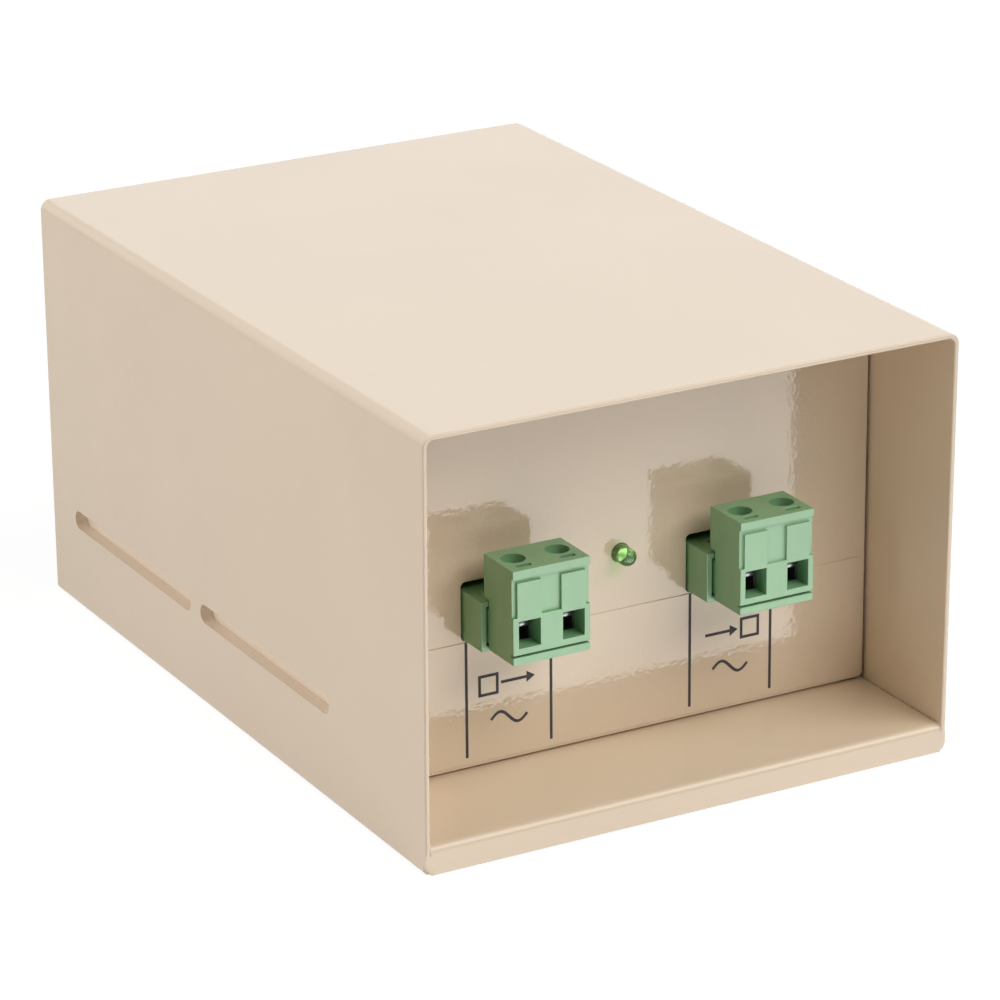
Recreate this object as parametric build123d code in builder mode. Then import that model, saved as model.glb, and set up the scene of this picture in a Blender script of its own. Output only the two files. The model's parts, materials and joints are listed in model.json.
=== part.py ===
"""Outdoor power supply: a folded steel hood over a chassis with a transformer and pluggable terminals.

Millimetres. The origin is at the middle of the bottom of the case, +X to the right seen from the
front, the open front towards -Y, and +Z up.
"""

import os

from build123d import *

os.makedirs("parts", exist_ok=True)

# Case
case_width = 93.0
case_depth = 135.5
case_height = 70.0
sheet = 0.8
roof_bend = 1.0  # inside radius of the cover's upper folds
foot_bend = 0.2  # inside radius of the cover's bottom folds
edge_round = 0.3  # painted rounding of the cover's front edges
hood_overhang = 1.0  # how far the roof's front edge leans out past the lip
flange_width = 12.0  # cover's bottom flanges, measured from the outside
slot_length = 45.4
slot_height = 3.2
slot_pitch = 49.0
slot_level = 16.1  # height of the slots' middle line
slot_edge = 0.8  # wall of the slots' turned-in edges

# Floor pan
floor_height = 4.7  # top of the floor above the ground
lip_corner = 1.8
lip_radius = 1.25  # outside radius of the fold into the lip
lip_clearance = 0.1  # lower edge of the lip above the ground
weld_gap = 0.2  # between the floor's edges and the cover

# Chassis tray and front panel
recess_depth = 22.0  # from the lip's face to the panel's face
panel_gap = 0.5  # round the panel and the tray, inside the cover
panel_corner = 0.9
tray_inset = 0.8  # tray's sides behind the panel's side edges
tray_fold = 1.4  # outside radius of the tray's folds
tray_side_height = 32.0
tray_relief = 1.5  # cut-outs where two folds meet
return_width = 9.0  # inward flaps that carry the panel
rear_inset = 1.0  # rear wall inside the cover's rear edge
chassis_screw_span = 60.0
chassis_screw_margin = 17.0  # from the panel and from the rear wall
label_thickness = 0.15
label_margin = 0.5  # from the panel's edges
label_top = 26.1

# Round fasteners
screw_radius = 1.5
screw_head_radius = 2.8
screw_head_height = 1.9
screw_head_chamfer = 0.6
screw_slot_width = 0.8
seat_gap = 0.05  # under a head or an end that bears on something
fastener_gap = 0.1  # round the shank, in what the screw passes through
nut_radius = 3.2
nut_height = 1.6
nut_shank_radius = 2.1
nut_engagement = 1.0  # screw end past the nut

# Terminals: two poles each, on both sides of the lamp
terminal_offset = 20.0
pole_pitch = 7.62
header_width = 15.7
header_height = 8.1
header_depth = 12.0
header_level = 30.65  # height of the header's middle line
header_wall = 0.9
header_floor = 3.2  # closed end, on the board
header_reach = 5.9  # in front of the panel
keyway_width = 2.4
keyway_depth = 5.0
cutout_gap = 0.3
cutout_head_room = 1.3  # dark gap above the header
cutout_corner = 0.8
pin_width = 1.0
pin_recess = 2.8  # pin's tip inside the header's mouth
pin_tail = 2.4  # past the back of the board
pin_chamfer = 0.25
pin_gap = 0.03

# Plug body
plug_width = 13.3
plug_height = 15.2
plug_drop = 0.3  # plug's underside above the header's underside
plug_length = 7.6  # in front of the header
mating_gap = 0.2  # plug's shoulder to the header's mouth
tongue_gap = 0.35  # round the tongue, in the header
hook_reach = 1.4  # upper part of the plug, back over the header
hook_gap = 0.3
band_height = 1.35  # plain band along the top of the face
pad_width = 4.2
pad_margin = 0.65  # below the band
face_relief = 0.45
face_relief_bottom = 7.6  # above the plug's underside
groove_level = 1.4
groove_height = 0.4
groove_depth = 0.8
entry_width = 3.8
entry_height = 4.4
entry_bottom = 2.6
clamp_axis = 5.05  # from the plug's face to the screws
screw_hole_radius = 1.95
probe_width = 2.6
probe_height = 0.9
probe_depth = 2.0
probe_axis = 1.8  # from the plug's face

# Clamps and contacts in the plug
clamp_width = 4.2
clamp_depth = 3.4
clamp_wall = 0.45
clamp_top_wall = 0.8
clamp_floor = 0.7
clamp_gap = 0.15
clamp_travel = 2.5
clamp_rest_gap = 0.1  # clamp's top wall above the current bar
shaft_wall = 1.5  # plug's bottom under the clamps
shaft_spare = 0.9  # above the raised clamp
bar_width = 2.8
bar_thickness = 0.5
bar_level = 5.9  # underside of the current bar above the plug's underside
bar_set_back = 2.4  # from the plug's face
contact_gap = 0.15
leaf_thickness = 0.4
leaf_height = 2.0
leaf_end = 0.9  # from the tongue's end
web_set_back = 1.5  # web of the contact behind the plug's shoulder
clamp_screw_radius = 1.25
clamp_screw_gap = 0.15
clamp_head_radius = 1.7
clamp_head_height = 1.8
neck_height = 0.6
neck_gap = 0.25

# Lamp
lamp_radius = 1.5
lamp_reach = 3.5  # tip in front of the panel
lamp_level = 35.4
lamp_flange_radius = 1.85
lamp_flange = 0.8
lamp_hole_gap = 0.1
lamp_lead_width = 0.5
lamp_lead_pitch = 2.54

# Circuit board
board_margin = 0.3  # from the tray's returns
board_height = 32.0
board_thickness = 1.6
board_level = 36.0
board_inset = 3.6  # fixing holes from the board's edges
standoff_radius = 2.75
standoff_bore_depth = 4.0
drill_gap = 0.25
fuse_level = 40.5
fuse_length = 20.0
fuse_radius = 2.3
fuse_glass = 0.5  # wall of the tube
fuse_cap_length = 5.0
fuse_cap_wall = 0.25
fuse_gap = 0.05
clip_wall = 0.4
clip_width = 4.0
clip_foot = 1.6  # board to the underside of the fuse's caps
clip_mouth = 3.6
resistor_level = 45.5
resistor_length = 6.4
resistor_radius = 1.2
resistor_waist = 0.95
resistor_end = 1.6
resistor_round = 0.25
diode_level = 40.0
diode_length = 5.2
diode_radius = 1.3
component_rise = 2.4  # axis of resistor and diode above the board
component_span = 11.0
component_wire = 0.3
component_bend = 0.8

# Transformer
core_stack = 33.0
core_head_room = 6.3  # under the roof, above the bracket
core_rear_share = 0.43  # of the free depth, behind the core
core_limb_share = 1 / 6  # of the core's width
core_hole_radius = 2.2
bobbin_gap = 0.2
bobbin_wall = 1.2
bobbin_reach = 10.5  # flanges past the core's faces
winding_margin = 0.8  # inside the bobbin's flanges
winding_corner = 7.0
bracket_sheet = 1.0
bracket_width = 25.0
bracket_gap = 0.3
bracket_bend = 1.5
bracket_foot = 8.1
bracket_margin = 0.7  # feet inside the tray's sides
bolt_margin = 4.6  # from the bracket's side to the bolt's axis
bolt_radius = 2.0
bolt_head_radius = 4.0
bolt_head_height = 2.6
bolt_spare = 1.0  # past the nut
bolt_pan_gap = 1.0
hex_nut_width = 7.0
hex_nut_height = 3.2
tag_width = 1.2
tag_thickness = 0.8
tag_reach = 4.0
tag_depth = 2.0
tag_offset = 6.0
tag_pitch = 10.0
lead_radius = 0.95
lead_bend = 4.0
lead_end_share = 0.24  # of the leads' run, straight at each end
pad_margin_top = 5.2  # primary leads' ends below the board's top
pad_margin_bottom = 4.0  # secondary leads' ends above the board's bottom

# Levels and depths that follow from the sizes above
case_front = -case_depth / 2
case_back = case_depth / 2
lip_front = case_front + hood_overhang
lip_end = floor_height - lip_radius
floor_half = case_width / 2 - sheet - weld_gap
panel_front = lip_front + recess_depth
panel_back = panel_front + sheet
panel_half = case_width / 2 - sheet - panel_gap
panel_bottom = floor_height + panel_gap
panel_top = case_height - sheet - panel_gap
tray_front = panel_back
tray_back = case_back - rear_inset
tray_top = floor_height + sheet
tray_side_top = floor_height + tray_side_height
tray_half = panel_half - tray_inset
tray_center = tray_half - sheet / 2
slot_edge_start = tray_half + seat_gap
slot_middle = (panel_front + case_back) / 2
chassis_screw_front = panel_back + chassis_screw_margin
chassis_screw_back = tray_back - chassis_screw_margin
header_front = panel_front - header_reach
header_bottom = header_level - header_height / 2
header_top = header_level + header_height / 2
board_front = header_front + header_depth
board_back = board_front + board_thickness
board_width = 2 * (tray_half - return_width - board_margin)
terminals = {"output": -terminal_offset, "input": terminal_offset}
poles = {"left": -pole_pitch / 2, "right": pole_pitch / 2}
fuse_offset = terminals["input"]
resistor_offset = terminals["output"]


def facing_front(depth):
    """Upright plane at this depth, seen from the front, with extrusion towards the front."""
    return Plane.XZ.offset(-depth)


def keep(piece, label):
    """Name a finished piece and write it out."""
    piece.part.label = label
    export_step(piece.part, f"parts/{label}.step")


def cover_outline(inset):
    """Outline of the cover's section, moved in from the outside by this much."""
    with BuildSketch() as outline:
        with Locations((0, case_height / 2)):
            Rectangle(case_width - 2 * inset, case_height - 2 * inset)
        fillet(outline.vertices().group_by(Axis.Y)[-1], roof_bend + sheet - inset)
        fillet(outline.vertices().group_by(Axis.Y)[0], foot_bend + sheet - inset)
    return outline.sketch


# Outer cover: roof, sides and bottom flanges in one fold
with BuildPart() as cover:
    with BuildSketch(facing_front(case_back)):
        add(cover_outline(0))
        add(cover_outline(sheet), mode=Mode.SUBTRACT)
        with Locations((0, sheet / 2)):
            Rectangle(case_width - 2 * flange_width, 2 * sheet, mode=Mode.SUBTRACT)
    extrude(amount=case_depth)
    # The sides' front edges lean forward from the lip to the roof
    with BuildSketch(Plane.YZ):
        with BuildLine():
            Polyline((case_front, 0), (lip_front, 0), (case_front, case_height), close=True)
        make_face()
    extrude(amount=case_width, both=True, mode=Mode.SUBTRACT)
    fillet(cover.faces().sort_by(Axis.Y)[0].edges(), edge_round)
    # The lip covers the lower front edges
    with BuildSketch(Plane.YZ):
        with Locations((case_front, 0)):
            Rectangle(hood_overhang + sheet, lip_end, align=Align.MIN)
    extrude(amount=case_width, both=True, mode=Mode.SUBTRACT)
    # Two slots in line, low on each side, centred on the chassis, with edges turned in to the tray
    for side in (-1, 1):
        with BuildSketch(Plane.YZ.offset(side * slot_edge_start)):
            with Locations((slot_middle, slot_level)):
                with GridLocations(slot_pitch, 0, 2, 1):
                    SlotOverall(slot_length + 2 * slot_edge, slot_height + 2 * slot_edge)
        extrude(amount=side * (case_width / 2 - sheet - slot_edge_start))
    with BuildSketch(Plane.YZ):
        with Locations((slot_middle, slot_level)):
            with GridLocations(slot_pitch, 0, 2, 1):
                SlotOverall(slot_length, slot_height)
    extrude(amount=case_width, both=True, mode=Mode.SUBTRACT)
keep(cover, "outer_cover")

# Places of the screws that hold the chassis and the transformer
bracket_half = tray_half - sheet - bracket_margin - bracket_foot
core_room = tray_back - sheet - board_back - core_stack
core_rear = tray_back - sheet - core_rear_share * core_room
core_middle = core_rear - core_stack / 2
bolt_offset = bracket_half + bolt_margin
chassis_screw_places = [
    (side * chassis_screw_span / 2, depth)
    for side in (-1, 1)
    for depth in (chassis_screw_front, chassis_screw_back)
]
bolt_places = [(-bolt_offset, core_middle), (bolt_offset, core_middle)]

# Floor pan: the floor and its front lip, the lip as wide as the case
with BuildPart() as pan:
    with BuildSketch(Plane.YZ):
        with BuildLine():
            FilletPolyline(
                (lip_front + sheet / 2, lip_clearance),
                (lip_front + sheet / 2, floor_height - sheet / 2),
                (tray_back, floor_height - sheet / 2),
                radius=lip_radius - sheet / 2,
            )
        trace(line_width=sheet)
    extrude(amount=floor_half, both=True)
    with BuildSketch(facing_front(lip_front)):
        with Locations((0, case_height / 2)):
            RectangleRounded(case_width, case_height, lip_corner)
        with Locations((0, (lip_clearance + lip_end) / 2)):
            Rectangle(case_width, lip_end - lip_clearance, mode=Mode.INTERSECT)
    extrude(amount=-sheet)
    with BuildSketch(Plane.XY.offset(floor_height)):
        with Locations(*chassis_screw_places):
            Circle(screw_radius + fastener_gap)
        with Locations(*bolt_places):
            Circle(bolt_head_radius + bolt_pan_gap)
    extrude(amount=-sheet, mode=Mode.SUBTRACT)
keep(pan, "floor_pan")

# Chassis tray: bottom, low sides with front returns, and the rear wall
fold_end = tray_fold + tray_relief
with BuildPart() as tray:
    with BuildSketch(facing_front(tray_back - fold_end)):
        with BuildLine():
            FilletPolyline(
                (-tray_center, tray_side_top),
                (-tray_center, floor_height + sheet / 2),
                (tray_center, floor_height + sheet / 2),
                (tray_center, tray_side_top),
                radius=tray_fold - sheet / 2,
            )
        trace(line_width=sheet)
    extrude(amount=tray_back - tray_front - 2 * fold_end)
    with BuildSketch(Plane.YZ):
        with BuildLine():
            FilletPolyline(
                (tray_front, floor_height + sheet / 2),
                (tray_back - sheet / 2, floor_height + sheet / 2),
                (tray_back - sheet / 2, panel_top),
                radius=tray_fold - sheet / 2,
            )
        trace(line_width=sheet)
    extrude(amount=tray_half - fold_end, both=True)
    with BuildSketch(facing_front(tray_back)):
        with Locations((0, (floor_height + fold_end + panel_top) / 2)):
            Rectangle(2 * tray_half, panel_top - floor_height - fold_end)
    extrude(amount=sheet)
    with BuildSketch(Plane.XY.offset(floor_height + fold_end)):
        with BuildLine():
            FilletPolyline(
                (tray_center, tray_front + 2 * fold_end),
                (tray_center, tray_front + sheet / 2),
                (tray_half - return_width, tray_front + sheet / 2),
                radius=tray_fold - sheet / 2,
            )
        trace(line_width=sheet)
        mirror(about=Plane.YZ)
    extrude(amount=tray_side_height - fold_end)
    with BuildSketch(Plane.XY.offset(tray_top)):
        with Locations(*chassis_screw_places):
            Circle(nut_shank_radius)
        with Locations(*bolt_places):
            Circle(bolt_radius + fastener_gap)
    extrude(amount=-sheet, mode=Mode.SUBTRACT)
keep(tray, "chassis_tray")

# Press-in nuts in the tray's bottom, and the screws that enter them from below the floor
with BuildPart() as chassis_nuts:
    with BuildSketch(Plane.XY.offset(floor_height)):
        with Locations(*chassis_screw_places):
            Circle(nut_shank_radius)
    extrude(amount=sheet)
    with BuildSketch(Plane.XY.offset(tray_top)):
        with Locations(*chassis_screw_places):
            Circle(nut_radius)
    extrude(amount=nut_height)
    with BuildSketch(Plane.XY.offset(floor_height)):
        with Locations(*chassis_screw_places):
            Circle(screw_radius + fastener_gap / 2)
    extrude(amount=sheet + nut_height, mode=Mode.SUBTRACT)
keep(chassis_nuts, "chassis_nuts")

with BuildPart() as chassis_screws:
    with BuildSketch(Plane.XY.offset(floor_height - sheet)):
        with Locations(*chassis_screw_places):
            Circle(screw_head_radius)
    extrude(amount=-screw_head_height)
    chamfer(chassis_screws.edges().group_by(Axis.Z)[0], screw_head_chamfer)
    with BuildSketch(Plane.XY.offset(floor_height - sheet)):
        with Locations(*chassis_screw_places):
            Circle(screw_radius)
    extrude(amount=2 * sheet + nut_height + nut_engagement)
    with BuildSketch(Plane.XY.offset(floor_height - sheet - screw_head_height)):
        with Locations(*chassis_screw_places):
            Rectangle(2 * screw_head_radius, screw_slot_width)
    extrude(amount=screw_head_height / 2, mode=Mode.SUBTRACT)
keep(chassis_screws, "chassis_screws")

# Front panel with the cut-outs for the terminals and the lamp
cutout_bottom = header_bottom - cutout_gap
cutout_top = header_top + cutout_head_room
with BuildPart() as panel:
    with BuildSketch(facing_front(panel_back)):
        with Locations((0, (panel_bottom + panel_top) / 2)):
            RectangleRounded(2 * panel_half, panel_top - panel_bottom, panel_corner)
        with Locations(*[(x, (cutout_bottom + cutout_top) / 2) for x in terminals.values()]):
            RectangleRounded(
                header_width + 2 * cutout_gap, cutout_top - cutout_bottom, cutout_corner, mode=Mode.SUBTRACT
            )
        with Locations((0, lamp_level)):
            Circle(lamp_radius + lamp_hole_gap, mode=Mode.SUBTRACT)
    extrude(amount=sheet)
keep(panel, "front_panel")

# Label film on the lower part of the panel
label_bottom = panel_bottom + label_margin
with BuildPart() as label:
    with BuildSketch(facing_front(panel_front)):
        with Locations((0, (label_bottom + label_top) / 2)):
            RectangleRounded(2 * (panel_half - label_margin), label_top - label_bottom, panel_corner)
    extrude(amount=label_thickness)
keep(label, "front_label")

# Levels inside the terminals
cavity_depth = header_depth - header_floor
plug_face = header_front - mating_gap - plug_length
plug_back = header_front - mating_gap
plug_bottom = header_bottom + plug_drop
plug_top = plug_bottom + plug_height
hook_bottom = header_top + hook_gap
tongue_bottom = header_bottom + header_wall + tongue_gap
tongue_top = header_top - header_wall - tongue_gap
tongue_end = header_front + cavity_depth - tongue_gap
relief_bottom = plug_bottom + face_relief_bottom
relief_top = plug_top - band_height
pad_top = relief_top - pad_margin
bar_bottom = plug_bottom + bar_level
bar_top = bar_bottom + bar_thickness
clamp_middle = plug_face + clamp_axis
clamp_bore_top = bar_top + clamp_rest_gap
clamp_bottom = plug_bottom + shaft_wall + clamp_gap
clamp_top = clamp_bore_top + clamp_top_wall
shaft_top = clamp_top + clamp_travel + shaft_spare
neck_top = shaft_top + neck_height
web_front = plug_back + web_set_back
web_back = web_front + bar_thickness
leaf_gap = pin_width / 2 + contact_gap
chamber_half = leaf_gap + leaf_thickness + contact_gap
chamber_bottom = header_level - leaf_height / 2 - contact_gap

for terminal, middle in terminals.items():
    pole_places = [middle + offset for offset in poles.values()]

    # Header: socket on the board, with keyways in its upper wall
    with BuildPart() as header:
        with BuildSketch(facing_front(board_front)):
            with Locations((middle, header_level)):
                Rectangle(header_width, header_height)
        extrude(amount=header_depth)
        with BuildSketch(facing_front(header_front)):
            with Locations((middle, header_level)):
                Rectangle(header_width - 2 * header_wall, header_height - 2 * header_wall)
        extrude(amount=-cavity_depth, mode=Mode.SUBTRACT)
        with BuildSketch(Plane.XY.offset(header_top)):
            with Locations(*[(x, header_front + keyway_depth / 2) for x in pole_places]):
                Rectangle(keyway_width, keyway_depth)
        extrude(amount=-header_wall, mode=Mode.SUBTRACT)
        with BuildSketch(facing_front(board_front)):
            with Locations(*[(x, header_level) for x in pole_places]):
                Rectangle(pin_width + 2 * pin_gap, pin_width + 2 * pin_gap)
        extrude(amount=header_floor, mode=Mode.SUBTRACT)
    keep(header, f"{terminal}_header")

    # Header pins, through the header's floor and the board
    with BuildPart() as pins:
        with BuildSketch(facing_front(board_back + pin_tail)):
            with Locations(*[(x, header_level) for x in pole_places]):
                Rectangle(pin_width, pin_width)
        extrude(amount=pin_tail + board_thickness + header_depth - pin_recess)
        chamfer(pins.edges().group_by(Axis.Y)[0], pin_chamfer)
    keep(pins, f"{terminal}_header_pins")

    # Plug: block in front of the header, hook above it and tongue inside it
    with BuildPart() as plug:
        with BuildSketch(Plane.YZ.offset(middle)):
            with BuildLine():
                Polyline(
                    (plug_face, plug_bottom),
                    (plug_face, plug_top),
                    (plug_back + hook_reach, plug_top),
                    (plug_back + hook_reach, hook_bottom),
                    (plug_back, hook_bottom),
                    (plug_back, tongue_top),
                    (tongue_end, tongue_top),
                    (tongue_end, tongue_bottom),
                    (plug_back, tongue_bottom),
                    (plug_back, plug_bottom),
                    close=True,
                )
            make_face()
        extrude(amount=plug_width / 2, both=True)
        # Face: recessed field with two pads, groove above the foot, and the wire entries
        with BuildSketch(facing_front(plug_face)):
            with Locations((middle, (relief_bottom + relief_top) / 2)):
                Rectangle(plug_width, relief_top - relief_bottom)
            with Locations(*[(x, (relief_bottom + pad_top) / 2) for x in pole_places]):
                Rectangle(pad_width, pad_top - relief_bottom, mode=Mode.SUBTRACT)
        extrude(amount=-face_relief, mode=Mode.SUBTRACT)
        with BuildSketch(facing_front(plug_face)):
            with Locations((middle, plug_bottom + groove_level)):
                Rectangle(plug_width, groove_height)
        extrude(amount=-groove_depth, mode=Mode.SUBTRACT)
        with BuildSketch(facing_front(plug_face)):
            with Locations(*[(x, plug_bottom + entry_bottom + entry_height / 2) for x in pole_places]):
                Rectangle(entry_width, entry_height)
        extrude(amount=-clamp_axis, mode=Mode.SUBTRACT)
        # Shafts of the clamps, necks under the screw heads, and the screw holes
        with BuildSketch(Plane.XY.offset(plug_bottom + shaft_wall)):
            with Locations(*[(x, clamp_middle) for x in pole_places]):
                Rectangle(clamp_width + 2 * clamp_gap, clamp_depth + 2 * clamp_gap)
        extrude(amount=shaft_top - plug_bottom - shaft_wall, mode=Mode.SUBTRACT)
        with BuildSketch(Plane.XY.offset(shaft_top)):
            with Locations(*[(x, clamp_middle) for x in pole_places]):
                Circle(clamp_screw_radius + neck_gap)
        extrude(amount=neck_height, mode=Mode.SUBTRACT)
        with BuildSketch(Plane.XY.offset(neck_top)):
            with Locations(*[(x, clamp_middle) for x in pole_places]):
                Circle(screw_hole_radius)
        extrude(amount=plug_top - neck_top, mode=Mode.SUBTRACT)
        # Probe slots in front of the screw holes
        with BuildSketch(Plane.XY.offset(plug_top)):
            with Locations(*[(x, plug_face + probe_axis) for x in pole_places]):
                Rectangle(probe_width, probe_height)
        extrude(amount=-probe_depth, mode=Mode.SUBTRACT)
        # Channels of the contacts: along the bar, down the web and back along the leaves
        for x in pole_places:
            with BuildSketch(Plane.YZ.offset(x)):
                with BuildLine():
                    Polyline(
                        (clamp_middle, bar_bottom - contact_gap),
                        (clamp_middle, tongue_top),
                        (web_back + contact_gap, tongue_top),
                        (web_back + contact_gap, chamber_bottom),
                        (web_front - contact_gap, chamber_bottom),
                        (web_front - contact_gap, bar_bottom - contact_gap),
                        close=True,
                    )
                make_face()
            extrude(amount=bar_width / 2 + contact_gap, both=True, mode=Mode.SUBTRACT)
        with BuildSketch(facing_front(tongue_end)):
            with Locations(*[(x, header_level) for x in pole_places]):
                Rectangle(2 * chamber_half, leaf_height + 2 * contact_gap)
        extrude(amount=tongue_end - web_back, mode=Mode.SUBTRACT)
    keep(plug, f"{terminal}_plug")

    # Contacts: current bar through the clamp, web, and two spring leaves round the header's pin
    with BuildPart() as contacts:
        for x in pole_places:
            with BuildSketch(Plane.YZ.offset(x)):
                with BuildLine():
                    FilletPolyline(
                        (plug_face + bar_set_back, bar_bottom + bar_thickness / 2),
                        (web_back - bar_thickness / 2, bar_bottom + bar_thickness / 2),
                        (web_back - bar_thickness / 2, header_level - leaf_height / 2),
                        radius=bar_thickness,
                    )
                trace(line_width=bar_thickness)
            extrude(amount=bar_width / 2, both=True)
        with BuildSketch(facing_front(web_back)):
            with Locations(*[(x, header_level) for x in pole_places]):
                Rectangle(2 * (leaf_gap + leaf_thickness), leaf_height)
                Rectangle(2 * leaf_gap, leaf_height, mode=Mode.SUBTRACT)
        extrude(amount=web_back + leaf_end - tongue_end)
    keep(contacts, f"{terminal}_plug_contacts")

    for side, offset in poles.items():
        pole = middle + offset

        # Rising clamp: a square cage with a threaded top wall
        with BuildPart() as clamp:
            with BuildSketch(facing_front(clamp_middle + clamp_depth / 2)):
                with Locations((pole, clamp_bottom)):
                    Rectangle(clamp_width, clamp_top - clamp_bottom, align=(Align.CENTER, Align.MIN))
                with Locations((pole, clamp_bottom + clamp_floor)):
                    Rectangle(
                        clamp_width - 2 * clamp_wall,
                        clamp_bore_top - clamp_bottom - clamp_floor,
                        align=(Align.CENTER, Align.MIN),
                        mode=Mode.SUBTRACT,
                    )
            extrude(amount=clamp_depth)
            with Locations((pole, clamp_middle, clamp_top)):
                Hole(clamp_screw_radius + clamp_screw_gap, depth=clamp_top_wall)
        keep(clamp, f"{terminal}_clamp_{side}")

        # Clamping screw: slotted head on the plug's neck, shank down to the current bar
        with BuildPart() as clamp_screw:
            with BuildSketch(Plane.XY.offset(bar_top + seat_gap)):
                with Locations((pole, clamp_middle)):
                    Circle(clamp_screw_radius)
            extrude(amount=neck_top - bar_top)
            with BuildSketch(Plane.XY.offset(neck_top + seat_gap)):
                with Locations((pole, clamp_middle)):
                    Circle(clamp_head_radius)
            extrude(amount=clamp_head_height)
            with BuildSketch(Plane.XY.offset(neck_top + seat_gap + clamp_head_height)):
                with Locations((pole, clamp_middle)):
                    Rectangle(2 * clamp_head_radius, screw_slot_width)
            extrude(amount=-clamp_head_height / 2, mode=Mode.SUBTRACT)
            chamfer(clamp_screw.edges().group_by(Axis.Z)[0], clamp_screw_radius / 4)
        keep(clamp_screw, f"{terminal}_screw_{side}")

# Lamp: round lens with a dome in front and a flange behind the panel
lamp_tip = panel_front - lamp_reach
dome_start = lamp_tip + lamp_radius
lamp_base = panel_back + seat_gap + lamp_flange
with BuildPart() as lamp:
    with BuildSketch(Plane.YZ):
        with BuildLine():
            Polyline(
                (lamp_tip, lamp_level),
                (lamp_base, lamp_level),
                (lamp_base, lamp_level + lamp_flange_radius),
                (lamp_base - lamp_flange, lamp_level + lamp_flange_radius),
                (lamp_base - lamp_flange, lamp_level + lamp_radius),
                (dome_start, lamp_level + lamp_radius),
            )
            RadiusArc((dome_start, lamp_level + lamp_radius), (lamp_tip, lamp_level), -lamp_radius)
        make_face()
    revolve(axis=Axis((0, 0, lamp_level), (0, 1, 0)))
keep(lamp, "status_lamp")

lamp_lead_places = [(-lamp_lead_pitch / 2, lamp_level), (lamp_lead_pitch / 2, lamp_level)]
with BuildPart() as lamp_leads:
    with BuildSketch(facing_front(board_back + pin_tail)):
        with Locations(*lamp_lead_places):
            Rectangle(lamp_lead_width, lamp_lead_width)
    extrude(amount=board_back + pin_tail - lamp_base)
keep(lamp_leads, "status_lamp_leads")

# Circuit board on standoffs behind the panel
board_fixing_x = board_width / 2 - board_inset
board_fixing_z = board_height / 2 - board_inset
board_fixings = [
    (x, board_level + z) for x in (-board_fixing_x, board_fixing_x) for z in (-board_fixing_z, board_fixing_z)
]
pin_places = [(middle + offset, header_level) for middle in terminals.values() for offset in poles.values()]
with BuildPart() as board:
    with BuildSketch(facing_front(board_back)):
        with Locations((0, board_level)):
            Rectangle(board_width, board_height)
        with Locations(*board_fixings):
            Circle(screw_radius + fastener_gap, mode=Mode.SUBTRACT)
        with Locations(*pin_places):
            Circle(pin_width / 2**0.5 + drill_gap, mode=Mode.SUBTRACT)
        with Locations(*lamp_lead_places):
            Circle(lamp_lead_width / 2**0.5 + drill_gap, mode=Mode.SUBTRACT)
    extrude(amount=board_thickness)
keep(board, "circuit_board")

with BuildPart() as standoffs:
    with BuildSketch(facing_front(board_front)):
        with Locations(*board_fixings):
            Circle(standoff_radius)
    extrude(amount=board_front - panel_back)
    with BuildSketch(facing_front(board_front)):
        with Locations(*board_fixings):
            Circle(screw_radius + fastener_gap / 2)
    extrude(amount=standoff_bore_depth, mode=Mode.SUBTRACT)
keep(standoffs, "board_standoffs")

with BuildPart() as board_screws:
    with BuildSketch(facing_front(board_back)):
        with Locations(*board_fixings):
            Circle(screw_head_radius)
    extrude(amount=-screw_head_height)
    chamfer(board_screws.edges().group_by(Axis.Y)[-1], screw_head_chamfer)
    with BuildSketch(facing_front(board_back)):
        with Locations(*board_fixings):
            Circle(screw_radius)
    extrude(amount=board_thickness + standoff_bore_depth - nut_engagement)
    with BuildSketch(facing_front(board_back + screw_head_height)):
        with Locations(*board_fixings):
            Rectangle(2 * screw_head_radius, screw_slot_width)
    extrude(amount=screw_head_height / 2, mode=Mode.SUBTRACT)
keep(board_screws, "board_screws")

# Fuse on the back of the board: glass tube, end caps and two spring clips
fuse_cap_radius = fuse_radius + fuse_gap + fuse_cap_wall
fuse_axis = board_back + clip_foot + fuse_cap_radius
fuse_start = fuse_offset - fuse_length / 2
fuse_end = fuse_offset + fuse_length / 2
with BuildPart() as fuse_tube:
    with BuildSketch(Plane.YZ.offset(fuse_start + fuse_cap_wall)):
        with Locations((fuse_axis, fuse_level)):
            Circle(fuse_radius)
            Circle(fuse_radius - fuse_glass, mode=Mode.SUBTRACT)
    extrude(amount=fuse_length - 2 * fuse_cap_wall)
keep(fuse_tube, "fuse_tube")

with BuildPart() as fuse_caps:
    with BuildSketch(Plane.YZ.offset(fuse_start)):
        with Locations((fuse_axis, fuse_level)):
            Circle(fuse_cap_radius)
    extrude(amount=fuse_cap_length)
    with BuildSketch(Plane.YZ.offset(fuse_start + fuse_cap_wall)):
        with Locations((fuse_axis, fuse_level)):
            Circle(fuse_radius + fuse_gap)
    extrude(amount=fuse_cap_length, mode=Mode.SUBTRACT)
    mirror(about=Plane.YZ.offset(fuse_offset))
keep(fuse_caps, "fuse_caps")

with BuildPart() as fuse_clips:
    for place in (fuse_start + fuse_cap_length / 2, fuse_end - fuse_cap_length / 2):
        with BuildSketch(Plane.YZ.offset(place)):
            with Locations((fuse_axis, fuse_level)):
                Circle(fuse_cap_radius + fuse_gap + clip_wall)
            with Locations((board_back, fuse_level)):
                Rectangle(fuse_axis - board_back, clip_mouth, align=(Align.MIN, Align.CENTER))
            with Locations((fuse_axis, fuse_level)):
                Circle(fuse_cap_radius + fuse_gap, mode=Mode.SUBTRACT)
                Rectangle(
                    2 * fuse_cap_radius, clip_mouth, align=(Align.MIN, Align.CENTER), mode=Mode.SUBTRACT
                )
        extrude(amount=clip_width / 2, both=True)
keep(fuse_clips, "fuse_clips")

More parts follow.
